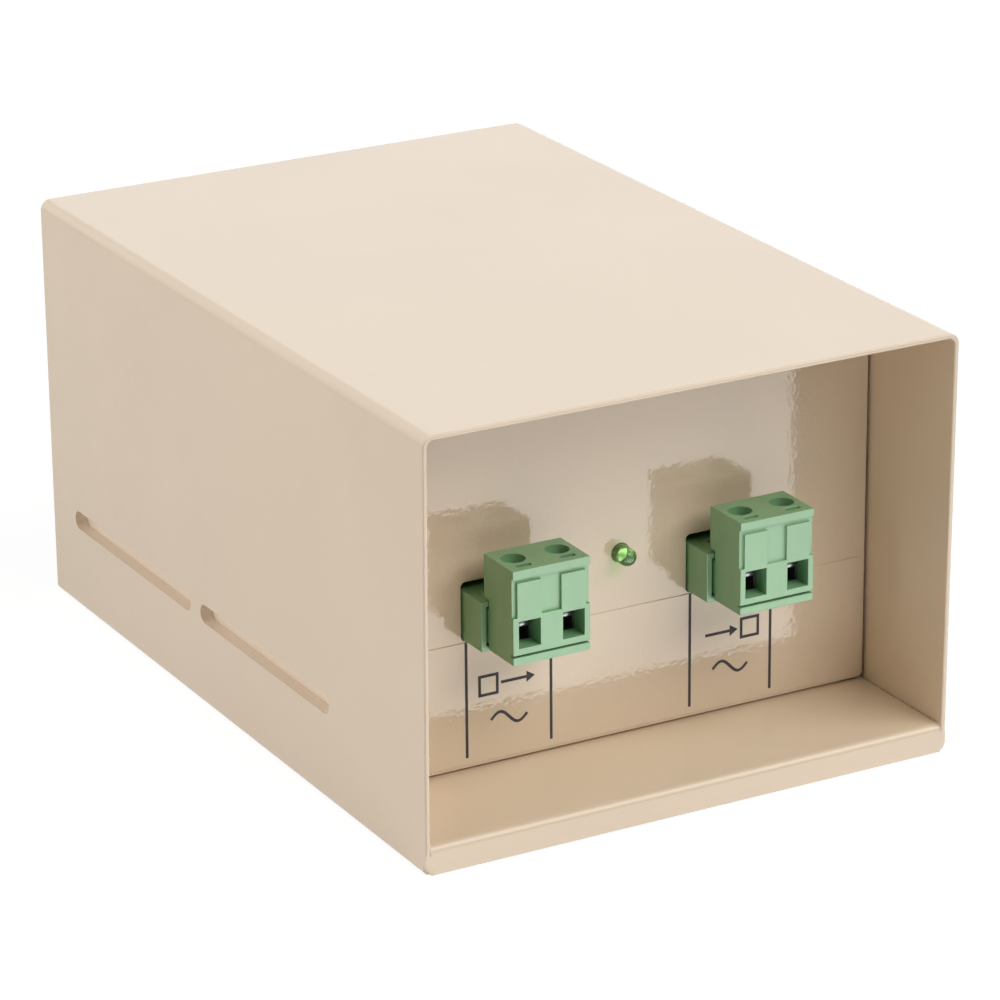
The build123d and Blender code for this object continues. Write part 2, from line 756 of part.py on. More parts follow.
# Lamp dropper resistor and blocking diode, with their wire leads bent into the board
component_axis = board_back + component_rise
with BuildPart() as resistor:
    with BuildSketch(Plane.YZ.offset(resistor_offset - resistor_length / 2)):
        with Locations((component_axis, resistor_level)):
            Circle(resistor_waist)
    extrude(amount=resistor_length)
    for start in (-resistor_length / 2, resistor_length / 2 - resistor_end):
        with BuildSketch(Plane.YZ.offset(resistor_offset + start)):
            with Locations((component_axis, resistor_level)):
                Circle(resistor_radius)
        extrude(amount=resistor_end)
    end_edges = resistor.edges().group_by(Axis.X)
    chamfer(end_edges[0] + end_edges[-1], resistor_round)
keep(resistor, "dropper_resistor")

with BuildPart() as diode:
    with BuildSketch(Plane.YZ.offset(resistor_offset - diode_length / 2)):
        with Locations((component_axis, diode_level)):
            Circle(diode_radius)
    extrude(amount=diode_length)
keep(diode, "blocking_diode")

with BuildPart() as component_leads:
    for level, length in ((resistor_level, resistor_length), (diode_level, diode_length)):
        for side in (-1, 1):
            with BuildLine() as route:
                FilletPolyline(
                    (resistor_offset + side * component_span / 2, board_back, level),
                    (resistor_offset + side * component_span / 2, component_axis, level),
                    (resistor_offset + side * length / 2, component_axis, level),
                    radius=component_bend,
                )
            with BuildSketch(Plane(route.line @ 0, z_dir=route.line % 0)):
                Circle(component_wire)
            sweep(path=route.line)
keep(component_leads, "component_leads")

# Transformer: laminated core with two windows round the middle limb
core_width = 2 * (bracket_half - bracket_sheet - bracket_gap)
core_limb = core_limb_share * core_width
core_window = core_limb
core_bottom = tray_top
core_top = case_height - sheet - core_head_room - bracket_sheet - bracket_gap
core_height = core_top - core_bottom
window_bottom = core_bottom + core_limb
window_top = core_top - core_limb
with BuildPart() as core:
    with BuildSketch(facing_front(core_rear)):
        with Locations((0, (core_bottom + core_top) / 2)):
            Rectangle(core_width, core_height)
            with GridLocations(core_width / 2, 0, 2, 1):
                Rectangle(core_window, core_height - 2 * core_limb, mode=Mode.SUBTRACT)
            with GridLocations(core_width - core_limb, core_height - core_limb, 2, 2):
                Circle(core_hole_radius, mode=Mode.SUBTRACT)
    extrude(amount=core_stack)
keep(core, "transformer_core")

# Bobbin round the middle limb, with a flange between the two windings
middle_limb = core_width / 2 - core_window
bore_x = middle_limb + 2 * bobbin_gap
bore_y = core_stack + 2 * bobbin_gap
flange_x = middle_limb + 2 * core_window - 2 * bobbin_gap
flange_y = core_stack + 2 * bobbin_reach
bobbin_bottom = window_bottom + bobbin_gap
bobbin_top = window_top - bobbin_gap
bobbin_middle = (bobbin_bottom + bobbin_top) / 2
tag_levels = {"secondary": bobbin_bottom + bobbin_wall / 2, "primary": bobbin_top - bobbin_wall / 2}
tag_places = {
    "secondary": [-tag_offset - tag_pitch, -tag_offset],
    "primary": [tag_offset, tag_offset + tag_pitch],
}
flange_front = core_middle - flange_y / 2
tag_tip = flange_front - tag_reach
lead_straight = lead_end_share * (tag_tip - board_back)
pad_levels = {
    "secondary": board_level - board_height / 2 + pad_margin_bottom,
    "primary": board_level + board_height / 2 - pad_margin_top,
}
with BuildPart() as bobbin:
    with BuildSketch(Plane.XY.offset(bobbin_bottom)):
        with Locations((0, core_middle)):
            Rectangle(bore_x + 2 * bobbin_wall, bore_y + 2 * bobbin_wall)
    extrude(amount=bobbin_top - bobbin_bottom)
    for level in (bobbin_bottom, bobbin_middle - bobbin_wall / 2, bobbin_top - bobbin_wall):
        with BuildSketch(Plane.XY.offset(level)):
            with Locations((0, core_middle)):
                Rectangle(flange_x, flange_y)
        extrude(amount=bobbin_wall)
    with BuildSketch(Plane.XY.offset(bobbin_bottom)):
        with Locations((0, core_middle)):
            Rectangle(bore_x, bore_y)
    extrude(amount=bobbin_top - bobbin_bottom, mode=Mode.SUBTRACT)
    with BuildSketch(facing_front(flange_front)):
        for winding, level in tag_levels.items():
            with Locations(*[(x, level) for x in tag_places[winding]]):
                Rectangle(tag_width + 2 * pin_gap, tag_thickness + 2 * pin_gap)
    extrude(amount=-tag_depth - pin_gap, mode=Mode.SUBTRACT)
keep(bobbin, "transformer_bobbin")

winding_starts = {"secondary": bobbin_bottom + bobbin_wall, "primary": bobbin_middle + bobbin_wall / 2}
winding_height = bobbin_middle - bobbin_bottom - 1.5 * bobbin_wall
for winding, start in winding_starts.items():
    with BuildPart() as coil:
        with BuildSketch(Plane.XY.offset(start)):
            with Locations((0, core_middle)):
                RectangleRounded(flange_x - 2 * winding_margin, flange_y - 2 * winding_margin, winding_corner)
                Rectangle(bore_x + 2 * bobbin_wall, bore_y + 2 * bobbin_wall, mode=Mode.SUBTRACT)
        extrude(amount=winding_height)
    keep(coil, f"{winding}_winding")

    # Leads from the winding's solder tags to the board
    level = tag_levels[winding]
    pad_level = pad_levels[winding]
    with BuildPart() as leads:
        for x in tag_places[winding]:
            with BuildLine() as route:
                FilletPolyline(
                    (x, tag_tip, level),
                    (x, tag_tip - lead_straight, level),
                    (x, board_back + lead_straight, pad_level),
                    (x, board_back, pad_level),
                    radius=lead_bend,
                )
            with BuildSketch(Plane(route.line @ 0, z_dir=route.line % 0)):
                Circle(lead_radius)
            sweep(path=route.line)
    keep(leads, f"{winding}_leads")

with BuildPart() as tags:
    with BuildSketch(facing_front(flange_front + tag_depth)):
        for winding, level in tag_levels.items():
            with Locations(*[(x, level) for x in tag_places[winding]]):
                Rectangle(tag_width, tag_thickness)
    extrude(amount=tag_depth + tag_reach)
keep(tags, "solder_tags")

# Bracket over the core, bolted down through its feet
bracket_center = bracket_half - bracket_sheet / 2
bracket_level = core_bottom + bracket_sheet / 2
with BuildPart() as bracket:
    with BuildSketch(facing_front(core_middle + bracket_width / 2)):
        with BuildLine():
            FilletPolyline(
                (-bracket_half - bracket_foot, bracket_level),
                (-bracket_center, bracket_level),
                (-bracket_center, core_top + bracket_gap + bracket_sheet / 2),
                (bracket_center, core_top + bracket_gap + bracket_sheet / 2),
                (bracket_center, bracket_level),
                (bracket_half + bracket_foot, bracket_level),
                radius=bracket_bend - bracket_sheet / 2,
            )
        trace(line_width=bracket_sheet)
    extrude(amount=bracket_width)
    with Locations(*[(x, y, core_bottom + bracket_sheet) for x, y in bolt_places]):
        Hole(bolt_radius + fastener_gap, depth=bracket_sheet)
keep(bracket, "transformer_bracket")

with BuildPart() as bolts:
    with BuildSketch(Plane.XY.offset(floor_height - bolt_head_height)):
        with Locations(*bolt_places):
            Circle(bolt_head_radius)
    extrude(amount=bolt_head_height)
    with BuildSketch(Plane.XY.offset(floor_height)):
        with Locations(*bolt_places):
            Circle(bolt_radius)
    extrude(amount=sheet + bracket_sheet + hex_nut_height + bolt_spare)
    with BuildSketch(Plane.XY.offset(floor_height - bolt_head_height)):
        with Locations(*bolt_places):
            Rectangle(2 * bolt_head_radius, screw_slot_width)
    extrude(amount=bolt_head_height / 2, mode=Mode.SUBTRACT)
keep(bolts, "transformer_bolts")

with BuildPart() as hex_nuts:
    with BuildSketch(Plane.XY.offset(core_bottom + bracket_sheet)):
        with Locations(*bolt_places):
            RegularPolygon(hex_nut_width / 2, 6, major_radius=False)
            Circle(bolt_radius + fastener_gap / 2, mode=Mode.SUBTRACT)
    extrude(amount=hex_nut_height)
keep(hex_nuts, "transformer_nuts")
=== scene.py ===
"""Looks of the outdoor power supply: paint, print, moulded plastic, lamp, light and camera."""

import json
import math
import random

import bmesh
import bpy
from mathutils import Matrix, Vector
from mathutils import noise as sounds

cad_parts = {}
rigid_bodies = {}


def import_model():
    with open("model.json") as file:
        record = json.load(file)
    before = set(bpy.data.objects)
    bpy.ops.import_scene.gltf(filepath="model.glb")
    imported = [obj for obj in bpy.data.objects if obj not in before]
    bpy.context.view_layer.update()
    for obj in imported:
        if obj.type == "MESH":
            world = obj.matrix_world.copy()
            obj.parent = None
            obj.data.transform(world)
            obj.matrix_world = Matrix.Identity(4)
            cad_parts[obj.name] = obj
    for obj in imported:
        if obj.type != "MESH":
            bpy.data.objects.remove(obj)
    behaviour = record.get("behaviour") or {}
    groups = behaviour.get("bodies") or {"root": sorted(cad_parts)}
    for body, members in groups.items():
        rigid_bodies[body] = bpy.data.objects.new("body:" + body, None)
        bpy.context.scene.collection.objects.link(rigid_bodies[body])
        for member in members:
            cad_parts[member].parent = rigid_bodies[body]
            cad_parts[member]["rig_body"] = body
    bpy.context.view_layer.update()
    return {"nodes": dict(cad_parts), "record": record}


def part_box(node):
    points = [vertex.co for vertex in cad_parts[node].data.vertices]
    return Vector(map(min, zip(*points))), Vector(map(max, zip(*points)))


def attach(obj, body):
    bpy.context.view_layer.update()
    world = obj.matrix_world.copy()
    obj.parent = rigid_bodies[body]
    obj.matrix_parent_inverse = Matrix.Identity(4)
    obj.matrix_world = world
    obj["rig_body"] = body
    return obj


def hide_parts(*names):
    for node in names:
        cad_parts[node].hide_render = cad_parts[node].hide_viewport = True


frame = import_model()
nodes = frame["nodes"]
scene = bpy.context.scene
MM = 0.001


# Material helpers


def new_material(name):
    """Empty material with a Principled shader on its output."""
    material = bpy.data.materials.new(name)
    material.use_nodes = True
    tree = material.node_tree
    tree.nodes.clear()
    output = tree.nodes.new("ShaderNodeOutputMaterial")
    shader = tree.nodes.new("ShaderNodeBsdfPrincipled")
    tree.links.new(shader.outputs["BSDF"], output.inputs["Surface"])
    return material, tree, shader


def part_coordinates(tree):
    """Coordinates in the part's frame, in metres."""
    return tree.nodes.new("ShaderNodeTexCoord").outputs["Object"]


def noise(tree, size, detail=2.0, stretch=None):
    """Noise with features of this size in millimetres, optionally stretched along an axis."""
    node = tree.nodes.new("ShaderNodeTexNoise")
    node.inputs["Scale"].default_value = 1.0 / (size * MM)
    node.inputs["Detail"].default_value = detail
    source = part_coordinates(tree)
    if stretch:
        mapping = tree.nodes.new("ShaderNodeMapping")
        mapping.inputs["Scale"].default_value = stretch
        tree.links.new(source, mapping.inputs["Vector"])
        source = mapping.outputs["Vector"]
    tree.links.new(source, node.inputs["Vector"])
    return node.outputs["Fac"]


def ramp(tree, value, stops):
    """Colour ramp from (position, colour) stops."""
    node = tree.nodes.new("ShaderNodeValToRGB")
    elements = node.color_ramp.elements
    while len(elements) < len(stops):
        elements.new(0.5)
    for element, (position, colour) in zip(elements, stops):
        element.position = position
        element.color = (*colour, 1.0)
    tree.links.new(value, node.inputs["Fac"])
    return node.outputs["Color"]


def span(tree, value, low, high):
    """Map the middle half of a noise value to the span from low to high."""
    node = tree.nodes.new("ShaderNodeMapRange")
    node.inputs["From Min"].default_value = 0.25
    node.inputs["From Max"].default_value = 0.75
    node.inputs["To Min"].default_value = low
    node.inputs["To Max"].default_value = high
    tree.links.new(value, node.inputs["Value"])
    return node.outputs["Result"]


def bump(tree, height, depth, below=None):
    """Bump of this depth in millimetres over an optional lower bump."""
    node = tree.nodes.new("ShaderNodeBump")
    node.inputs["Distance"].default_value = depth * MM
    tree.links.new(height, node.inputs["Height"])
    if below:
        tree.links.new(below, node.inputs["Normal"])
    return node.outputs["Normal"]


def shade(colour, factor):
    """Scaled copy of a colour."""
    return tuple(min(1.0, c * factor) for c in colour)


def tones(tree, value, colour, dark, light):
    """Colour that a noise value takes from this dark to this light share of a base colour."""
    return ramp(tree, value, [(0.3, shade(colour, dark)), (0.7, shade(colour, light))])


# Materials

BEIGE = (0.75, 0.60, 0.44)
GREEN = (0.19, 0.385, 0.19)
# Paler coat colour inside the side slots: painted light that lifts the shade the slots hold
SLOT_PAINTED_LIGHT = (0.88, 0.745, 0.60)
# Middle and reach of the slots in millimetres, where the coat is painted paler as painted light: out from
# the middle plane, along Y and along Z
SLOT_ZONE = ((45.0, 1.38), (11.5, 48.0), (16.1, 1.7))
TONE_SIZE = 26.0
GLOSS_SIZE = 3.5
FINE_PEEL_SIZE = 0.55
FINE_PEEL_SHARE = 0.16
PAINT_IOR = 1.5


def painted_light_mask(tree):
    """One inside the side slots, where the coat gets painted light, zero elsewhere."""
    split = tree.nodes.new("ShaderNodeSeparateXYZ")
    tree.links.new(part_coordinates(tree), split.inputs["Vector"])
    away = tree.nodes.new("ShaderNodeMath")
    away.operation = "ABSOLUTE"
    tree.links.new(split.outputs["X"], away.inputs[0])
    mask = None
    values = (away.outputs[0], split.outputs["Y"], split.outputs["Z"])
    for value, (middle, reach) in zip(values, SLOT_ZONE):
        inside = tree.nodes.new("ShaderNodeMath")
        inside.operation = "COMPARE"
        inside.inputs[1].default_value = middle * MM
        inside.inputs[2].default_value = reach * MM
        tree.links.new(value, inside.inputs[0])
        if mask:
            both = tree.nodes.new("ShaderNodeMath")
            both.operation = "MULTIPLY"
            tree.links.new(mask, both.inputs[0])
            tree.links.new(inside.outputs[0], both.inputs[1])
            mask = both.outputs[0]
        else:
            mask = inside.outputs[0]
    return mask


def powder_coat(name, colour, gloss, peel, wave=2.2):
    """Powder coat: slow tone changes and orange peel of this wave length, with painted light that makes it
    paler inside the side slots.
    """
    material, tree, shader = new_material(name)
    tone = noise(tree, TONE_SIZE)
    plain = tones(tree, tone, colour, 0.982, 1.015)
    # Painted light: the paler slot colour, which the mask chooses inside the side slots
    slot_painted_light = tones(tree, tone, SLOT_PAINTED_LIGHT, 0.982, 1.015)
    choice = tree.nodes.new("ShaderNodeMix")
    choice.data_type = "RGBA"
    tree.links.new(painted_light_mask(tree), choice.inputs[0])
    tree.links.new(plain, choice.inputs[6])
    tree.links.new(slot_painted_light, choice.inputs[7])
    tree.links.new(choice.outputs[2], shader.inputs["Base Color"])
    # The span is narrow, because the denoiser leaves blotches where roughness crosses about 0.27
    dullness = span(tree, noise(tree, GLOSS_SIZE), gloss * 0.93, gloss * 1.04)
    tree.links.new(dullness, shader.inputs["Roughness"])
    shader.inputs["IOR"].default_value = PAINT_IOR
    coarse = bump(tree, noise(tree, wave, 1.0), peel)
    fine = bump(tree, noise(tree, FINE_PEEL_SIZE), peel * FINE_PEEL_SHARE, coarse)
    tree.links.new(fine, shader.inputs["Normal"])
    return material


def moulded(name, colour, roughness, grain=0.25, depth=0.006, sheen=0.5):
    """Moulded plastic: faint flow tones and a fine satin grain."""
    material, tree, shader = new_material(name)
    tone = noise(tree, 5.0, 3.0, stretch=(1.0, 1.0, 0.35))
    tree.links.new(tones(tree, tone, colour, 0.93, 1.07), shader.inputs["Base Color"])
    dullness = span(tree, noise(tree, 1.2), roughness * 0.88, roughness * 1.12)
    tree.links.new(dullness, shader.inputs["Roughness"])
    shader.inputs["Specular IOR Level"].default_value = sheen
    tree.links.new(bump(tree, noise(tree, grain, 3.0), depth), shader.inputs["Normal"])
    return material


def plated(name, colour, roughness, stretch=(1.0, 1.0, 12.0)):
    """Plated metal with fine drawing marks."""
    material, tree, shader = new_material(name)
    shader.inputs["Metallic"].default_value = 1.0
    marks = noise(tree, 0.6, 3.0, stretch=stretch)
    tree.links.new(tones(tree, marks, colour, 0.86, 1.06), shader.inputs["Base Color"])
    tree.links.new(span(tree, marks, roughness * 0.8, roughness * 1.3), shader.inputs["Roughness"])
    tree.links.new(bump(tree, marks, 0.004), shader.inputs["Normal"])
    return material


def clear(name, colour, ior, roughness, clarity=1.0):
    """Clear tinted body with faint flow streaks, which lets tinted light through to what is behind it."""
    material, tree, shader = new_material(name)
    output = shader.outputs["BSDF"].links[0].to_node
    path = tree.nodes.new("ShaderNodeLightPath")
    through = tree.nodes.new("ShaderNodeBsdfTransparent")
    through.inputs["Color"].default_value = (*colour, 1.0)
    choice = tree.nodes.new("ShaderNodeMixShader")
    tree.links.new(path.outputs["Is Shadow Ray"], choice.inputs["Fac"])
    tree.links.new(shader.outputs["BSDF"], choice.inputs[1])
    tree.links.new(through.outputs["BSDF"], choice.inputs[2])
    tree.links.new(choice.outputs["Shader"], output.inputs["Surface"])
    shader.inputs["Transmission Weight"].default_value = clarity
    shader.inputs["IOR"].default_value = ior
    streaks = noise(tree, 1.5)
    tree.links.new(tones(tree, streaks, colour, 0.92, 1.05), shader.inputs["Base Color"])
    tree.links.new(span(tree, streaks, roughness * 0.7, roughness * 1.4), shader.inputs["Roughness"])
    return material


paint = powder_coat("beige_powder_coat", BEIGE, 0.26, 0.020)
panel_paint = powder_coat("beige_panel_coat", BEIGE, 0.05, 0.030, 0.8)
film = powder_coat("label_film", shade(BEIGE, 1.01), 0.05, 0.027, 0.8)
ink = moulded("print_ink", (0.045, 0.042, 0.045), 0.85, 0.15, 0.002)
green = moulded("green_polyamide", GREEN, 0.38, sheen=0.9)
lens_green = clear("lamp_epoxy", (0.42, 0.80, 0.27), 1.52, 0.09, 0.8)
tin = plated("tin_plate", (0.62, 0.61, 0.60), 0.30)
zinc = plated("zinc_plate", (0.52, 0.53, 0.55), 0.38)
# Near-black zinc: painted shade for the clamps deep inside the wire entries
zinc_painted_shade = plated("zinc_darkened_as_shade", (0.13, 0.13, 0.14), 0.42)
# Darkened tin: painted shade that dims the gleam of the bar noses in the wire entries
tin_dimmed_as_shade = plated("tin_dimmed_as_shade", (0.26, 0.26, 0.265), 0.34)
laminate = moulded("board_laminate", (0.02, 0.16, 0.06), 0.35)
glass = clear("fuse_glass", (0.93, 0.96, 0.96), 1.47, 0.02)
lacquer = moulded("resistor_lacquer", (0.55, 0.40, 0.22), 0.3)
black_case = moulded("diode_case", (0.02, 0.02, 0.02), 0.35)
core_iron = plated("core_laminations", (0.16, 0.16, 0.17), 0.5, (1.0, 40.0, 1.0))
nylon = moulded("bobbin_nylon", (0.74, 0.71, 0.62), 0.5)
tape = moulded("winding_tape", (0.62, 0.40, 0.06), 0.38)
black_sleeve = moulded("primary_sleeve", (0.02, 0.02, 0.022), 0.45)
red_sleeve = moulded("secondary_sleeve", (0.36, 0.02, 0.02), 0.45)

finishes = {
    "beige_paint": paint,
    "label_film": film,
    "green_plastic": green,
    "lamp_lens": lens_green,
    "tinned_brass": tin,
    "zinc_steel": zinc,
    "board_laminate": laminate,
    "fuse_glass": glass,
    "resistor_coat": lacquer,
    "diode_case": black_case,
    "core_steel": core_iron,
    "bobbin_plastic": nylon,
    "winding_tape": tape,
    "primary_sleeve": black_sleeve,
    "secondary_sleeve": red_sleeve,
}


def dress(thing, material):
    """Give an object this one material."""
    thing.data.materials.clear()
    thing.data.materials.append(material)


slots = {part["node"]: part["material_slot"] for part in frame["record"]["subparts"]}
for name, node in nodes.items():
    dress(node, finishes[slots[name]])
dress(nodes["front_panel"], panel_paint)
# The clamps wear the near-black zinc, painted shade that keeps the wire entries dark inside
for terminal in ("output", "input"):
    for side in ("left", "right"):
        dress(nodes[terminal + "_clamp_" + side], zinc_painted_shade)


# Pieces with softened edges

SHARP_ANGLE = 35.0
FLAT_ANGLE = 0.5
COVER_EDGE = 0.1
PANEL_EDGE = 0.08
LABEL_EDGE = 0.06
TRAY_EDGE = 0.15
MOULDED_EDGE = 0.1
CONTACT_EDGE = 0.2


def softened(name, width, material):
    """Add a copy that stands for a node, with sharp edges rounded by this width in millimetres."""
    mesh = nodes[name].data.copy()
    mesh.name = name + "_soft"
    piece = bpy.data.objects.new(name + "_soft", mesh)
    scene.collection.objects.link(piece)
    shape = bmesh.new()
    shape.from_mesh(mesh)
    bmesh.ops.remove_doubles(shape, verts=shape.verts, dist=0.001 * MM)
    bmesh.ops.dissolve_limit(
        shape,
        angle_limit=math.radians(FLAT_ANGLE),
        verts=shape.verts,
        edges=shape.edges,
        use_dissolve_boundaries=False,
    )
    for face in shape.faces:
        face.smooth = True
    shape.to_mesh(mesh)
    shape.free()
    if mesh.has_custom_normals:
        mesh.attributes.remove(mesh.attributes["custom_normal"])
    rounding = piece.modifiers.new("rounded_edges", "BEVEL")
    rounding.width = width * MM
    rounding.segments = 3
    rounding.limit_method = "ANGLE"
    rounding.angle_limit = math.radians(SHARP_ANGLE)
    rounding.harden_normals = True
    weighting = piece.modifiers.new("even_normals", "WEIGHTED_NORMAL")
    weighting.keep_sharp = True
    dress(piece, material)
    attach(piece, nodes[name]["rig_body"])
    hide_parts(name)


for name in ("outer_cover", "floor_pan"):
    softened(name, COVER_EDGE, paint)
softened("front_panel", PANEL_EDGE, panel_paint)
softened("front_label", LABEL_EDGE, film)
softened("chassis_tray", TRAY_EDGE, paint)
for terminal in ("output", "input"):
    softened(terminal + "_header", MOULDED_EDGE, green)
    softened(terminal + "_plug", MOULDED_EDGE, green)
    softened(terminal + "_plug_contacts", CONTACT_EDGE, tin)


# Inside the lamp: reflector cup on its post, and the second post


def turned(shape, profile, x, z, steps=24):
    """Add a turned body about a line along Y. The profile holds (radius, depth) in millimetres."""
    rings = []
    for radius, depth in profile:
        ring = []
        for i in range(steps):
            angle = 2 * math.pi * i / steps
            place = (x + radius * math.cos(angle), depth, z + radius * math.sin(angle))
            ring.append(shape.verts.new(Vector(place) * MM))
        rings.append(ring)
    for first, second in zip(rings, rings[1:]):
        for i in range(steps):
            j = (i + 1) % steps
            shape.faces.new((first[i], first[j], second[j], second[i]))
    shape.faces.new(rings[0])
    shape.faces.new(rings[-1])


def finished(name, shape, material, body):
    """Add an object made from a shape, smooth, with outward faces, carried by a body."""
    bmesh.ops.recalc_face_normals(shape, faces=shape.faces)
    for face in shape.faces:
        face.smooth = True
    mesh = bpy.data.meshes.new(name)
    shape.to_mesh(mesh)
    shape.free()
    piece = bpy.data.objects.new(name, mesh)
    scene.collection.objects.link(piece)
    dress(piece, material)
    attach(piece, body)


lamp_low, lamp_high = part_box("status_lamp")
lamp_tip = lamp_low.y / MM
lamp_base = lamp_high.y / MM
lamp_level = (lamp_low.z + lamp_high.z) / 2 / MM
CUP_DEPTH = 2.1
CUP_RADIUS = 0.8
CUP_OFFSET = -0.4
POST_RADIUS = 0.28
POST_OFFSET = 0.85
cup_front = lamp_tip + CUP_DEPTH
shape = bmesh.new()
turned(
    shape,
    [
        (0.02, cup_front + 0.35),
        (CUP_RADIUS * 0.55, cup_front + 0.33),
        (CUP_RADIUS * 0.9, cup_front),
        (CUP_RADIUS, cup_front),
        (CUP_RADIUS * 0.8, cup_front + 0.7),
        (POST_RADIUS, cup_front + 0.8),
        (POST_RADIUS, lamp_base - 0.1),
    ],
    CUP_OFFSET,
    lamp_level - CUP_OFFSET / 2,
)
turned(
    shape,
    [(0.05, cup_front + 0.1), (POST_RADIUS * 0.8, cup_front + 0.2), (POST_RADIUS * 0.8, lamp_base - 0.1)],
    POST_OFFSET,
    lamp_level,
    12,
)
finished("lamp_cup", shape, tin, "case")


# Paint that bridges the seams between the floor and the sides, and fills the corners at the lip's ends

LIP_RADIUS = 1.25
LIP_CORNER = 1.8
FOOT_RADIUS = 1.0
SHEET = 0.8
SEAM_INSET = 0.9
BEAD_UNEVENNESS = 0.35
BEAD_GRAIN = 0.25
BEAD_SET_IN = 0.12
FOLD_BEADS = 9
FOLD_BEAD = (0.2, 0.24, 0.24)
LIP_BEADS = 5
LIP_BEAD = (0.2, 0.12, 0.09)
LIP_BEAD_STEP = 0.2
FILLET_SECTIONS = 17
FILLET_START = 13.0
FILLET_STEP = 4.0
FILLET_OVERLAP = 0.03
FILLET_SET_BACK = 0.08
pan_low, pan_high = (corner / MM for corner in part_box("floor_pan"))
panel_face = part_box("front_panel")[0].y / MM
fold_start = pan_low.y + LIP_RADIUS
fold_level = pan_high.z - LIP_RADIUS


def bead(shape, middle, size, seed):
    """Add an uneven drop of paint with these half sizes, in millimetres."""
    place = Matrix.Translation(Vector(middle) * MM) @ Matrix.Diagonal((*(Vector(size) * MM), 1.0))
    made = bmesh.ops.create_icosphere(shape, subdivisions=2, radius=1.0, matrix=place)
    for vertex in made["verts"]:
        offset = vertex.co - Vector(middle) * MM
        wobble = sounds.noise(vertex.co / (BEAD_GRAIN * MM) + Vector((seed, 0.0, 0.0)))
        vertex.co += offset * BEAD_UNEVENNESS * wobble


def corner_fillet(shape, side):
    """Add a three-sided strip of paint round the lip's lower corner, out to the cover's bottom fold."""
    shift = LIP_CORNER - FOOT_RADIUS
    near = LIP_CORNER - FILLET_OVERLAP
    sections = []
    for i in range(FILLET_SECTIONS):
        angle = math.radians(FILLET_START + FILLET_STEP * i)
        away, down = math.cos(angle), math.sin(angle)
        lean = shift * (away + down)
        far = max(LIP_CORNER, lean + math.sqrt(lean**2 + FOOT_RADIUS**2 - 2 * shift**2))
        section = []
        for reach, depth in ((near, FILLET_SET_BACK), (far + 0.01, SHEET - FILLET_SET_BACK), (near, SHEET)):
            place = (
                side * (pan_high.x - LIP_CORNER + reach * away),
                pan_low.y + depth,
                pan_low.z + LIP_CORNER - reach * down,
            )
            section.append(shape.verts.new(Vector(place) * MM))
        sections.append(section)
    for first, second in zip(sections, sections[1:]):
        for i in range(3):
            j = (i + 1) % 3
            shape.faces.new((first[i], first[j], second[j], second[i]))
    shape.faces.new(sections[0])
    shape.faces.new(sections[-1])


chance = random.Random(5)
shape = bmesh.new()
for side in (-1, 1):
    seam = side * (pan_high.x - SEAM_INSET)
    for i in range(FOLD_BEADS):
        angle = math.radians(90.0 + 90.0 * i / (FOLD_BEADS - 1))
        reach = LIP_RADIUS - BEAD_SET_IN
        middle = (seam, fold_start + reach * math.cos(angle), fold_level + reach * math.sin(angle))
        bead(shape, middle, FOLD_BEAD, i)
    for i in range(LIP_BEADS):
        bead(shape, (seam + side * LIP_BEAD_STEP * i, pan_low.y + 0.1, fold_level), LIP_BEAD, i)
    corner_fillet(shape, side)
    y = fold_start + 0.5
    while y < panel_face - 0.8:
        length = chance.uniform(0.08, 0.26)
        bead(shape, (seam, y, pan_high.z - 0.06), (0.18, length, 0.12), y)
        y += length + chance.uniform(0.35, 0.8) * (1.0 + (y - fold_start) / 7.0)
finished("seam_beads", shape, paint, "case")


# Turned-down noses of the current bars, which gleam in the wire entries

NOSE_RADIUS = 0.6
NOSE_MIDDLE = (2.78, 5.5)  # from the plug's face and above its underside
NOSE = [
    (
        NOSE_MIDDLE[0] - NOSE_RADIUS * math.cos(math.radians(angle)),
        NOSE_MIDDLE[1] + NOSE_RADIUS * math.sin(math.radians(angle)),
    )
    for angle in range(80, -31, -10)
]
NOSE += [(2.30, 5.15), (2.40, 5.12), (2.75, 5.16), (2.75, 6.08)]
NOSE_WIDTH = 2.7
POLE_STEP = 7.62
for terminal in ("output", "input"):
    plug_low, plug_high = (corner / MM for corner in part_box(terminal + "_plug"))
    shape = bmesh.new()
    for side in (-1, 1):
        pole = (plug_low.x + plug_high.x) / 2 + side * POLE_STEP / 2
        ends = []
        for edge in (-1, 1):
            x = pole + edge * NOSE_WIDTH / 2
            places = [(x, plug_low.y + depth, plug_low.z + level) for depth, level in NOSE]
            ends.append([shape.verts.new(Vector(place) * MM) for place in places])
        for i in range(len(NOSE)):
            j = (i + 1) % len(NOSE)
            shape.faces.new((ends[0][i], ends[0][j], ends[1][j], ends[1][i]))
        shape.faces.new(ends[0])
        shape.faces.new(ends[1])
    # The noses wear the darkened tin, painted shade that dims their gleam
    finished(terminal + "_bar_noses", shape, tin_dimmed_as_shade, nodes[terminal + "_plug"]["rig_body"])


# Print on the label film

TERMINAL_PLACES = (("output", -20.0), ("input", 20.0))
LINE_OFFSET = 7.45
LINE_WIDTH = 0.5
LINE_BOTTOM = 6.85
SIGN_WIDTH = 0.5
SIGN_LEVEL = 18.3
BOX_HALF = 1.8
BOX_OFFSET = 3.6
ARROW_LENGTH = 6.0
ARROW_OFFSET = 1.6
ARROW_HEAD = 1.5
ARROW_SPREAD = 0.95
WAVE_LEVEL = 12.3
WAVE_LENGTH = 6.4
WAVE_HEIGHT = 2.2
WAVE_STEPS = 32
PRINT_LIFT = 0.006
print_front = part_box("front_label")[0].y - PRINT_LIFT * MM
label_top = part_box("front_label")[1].z / MM


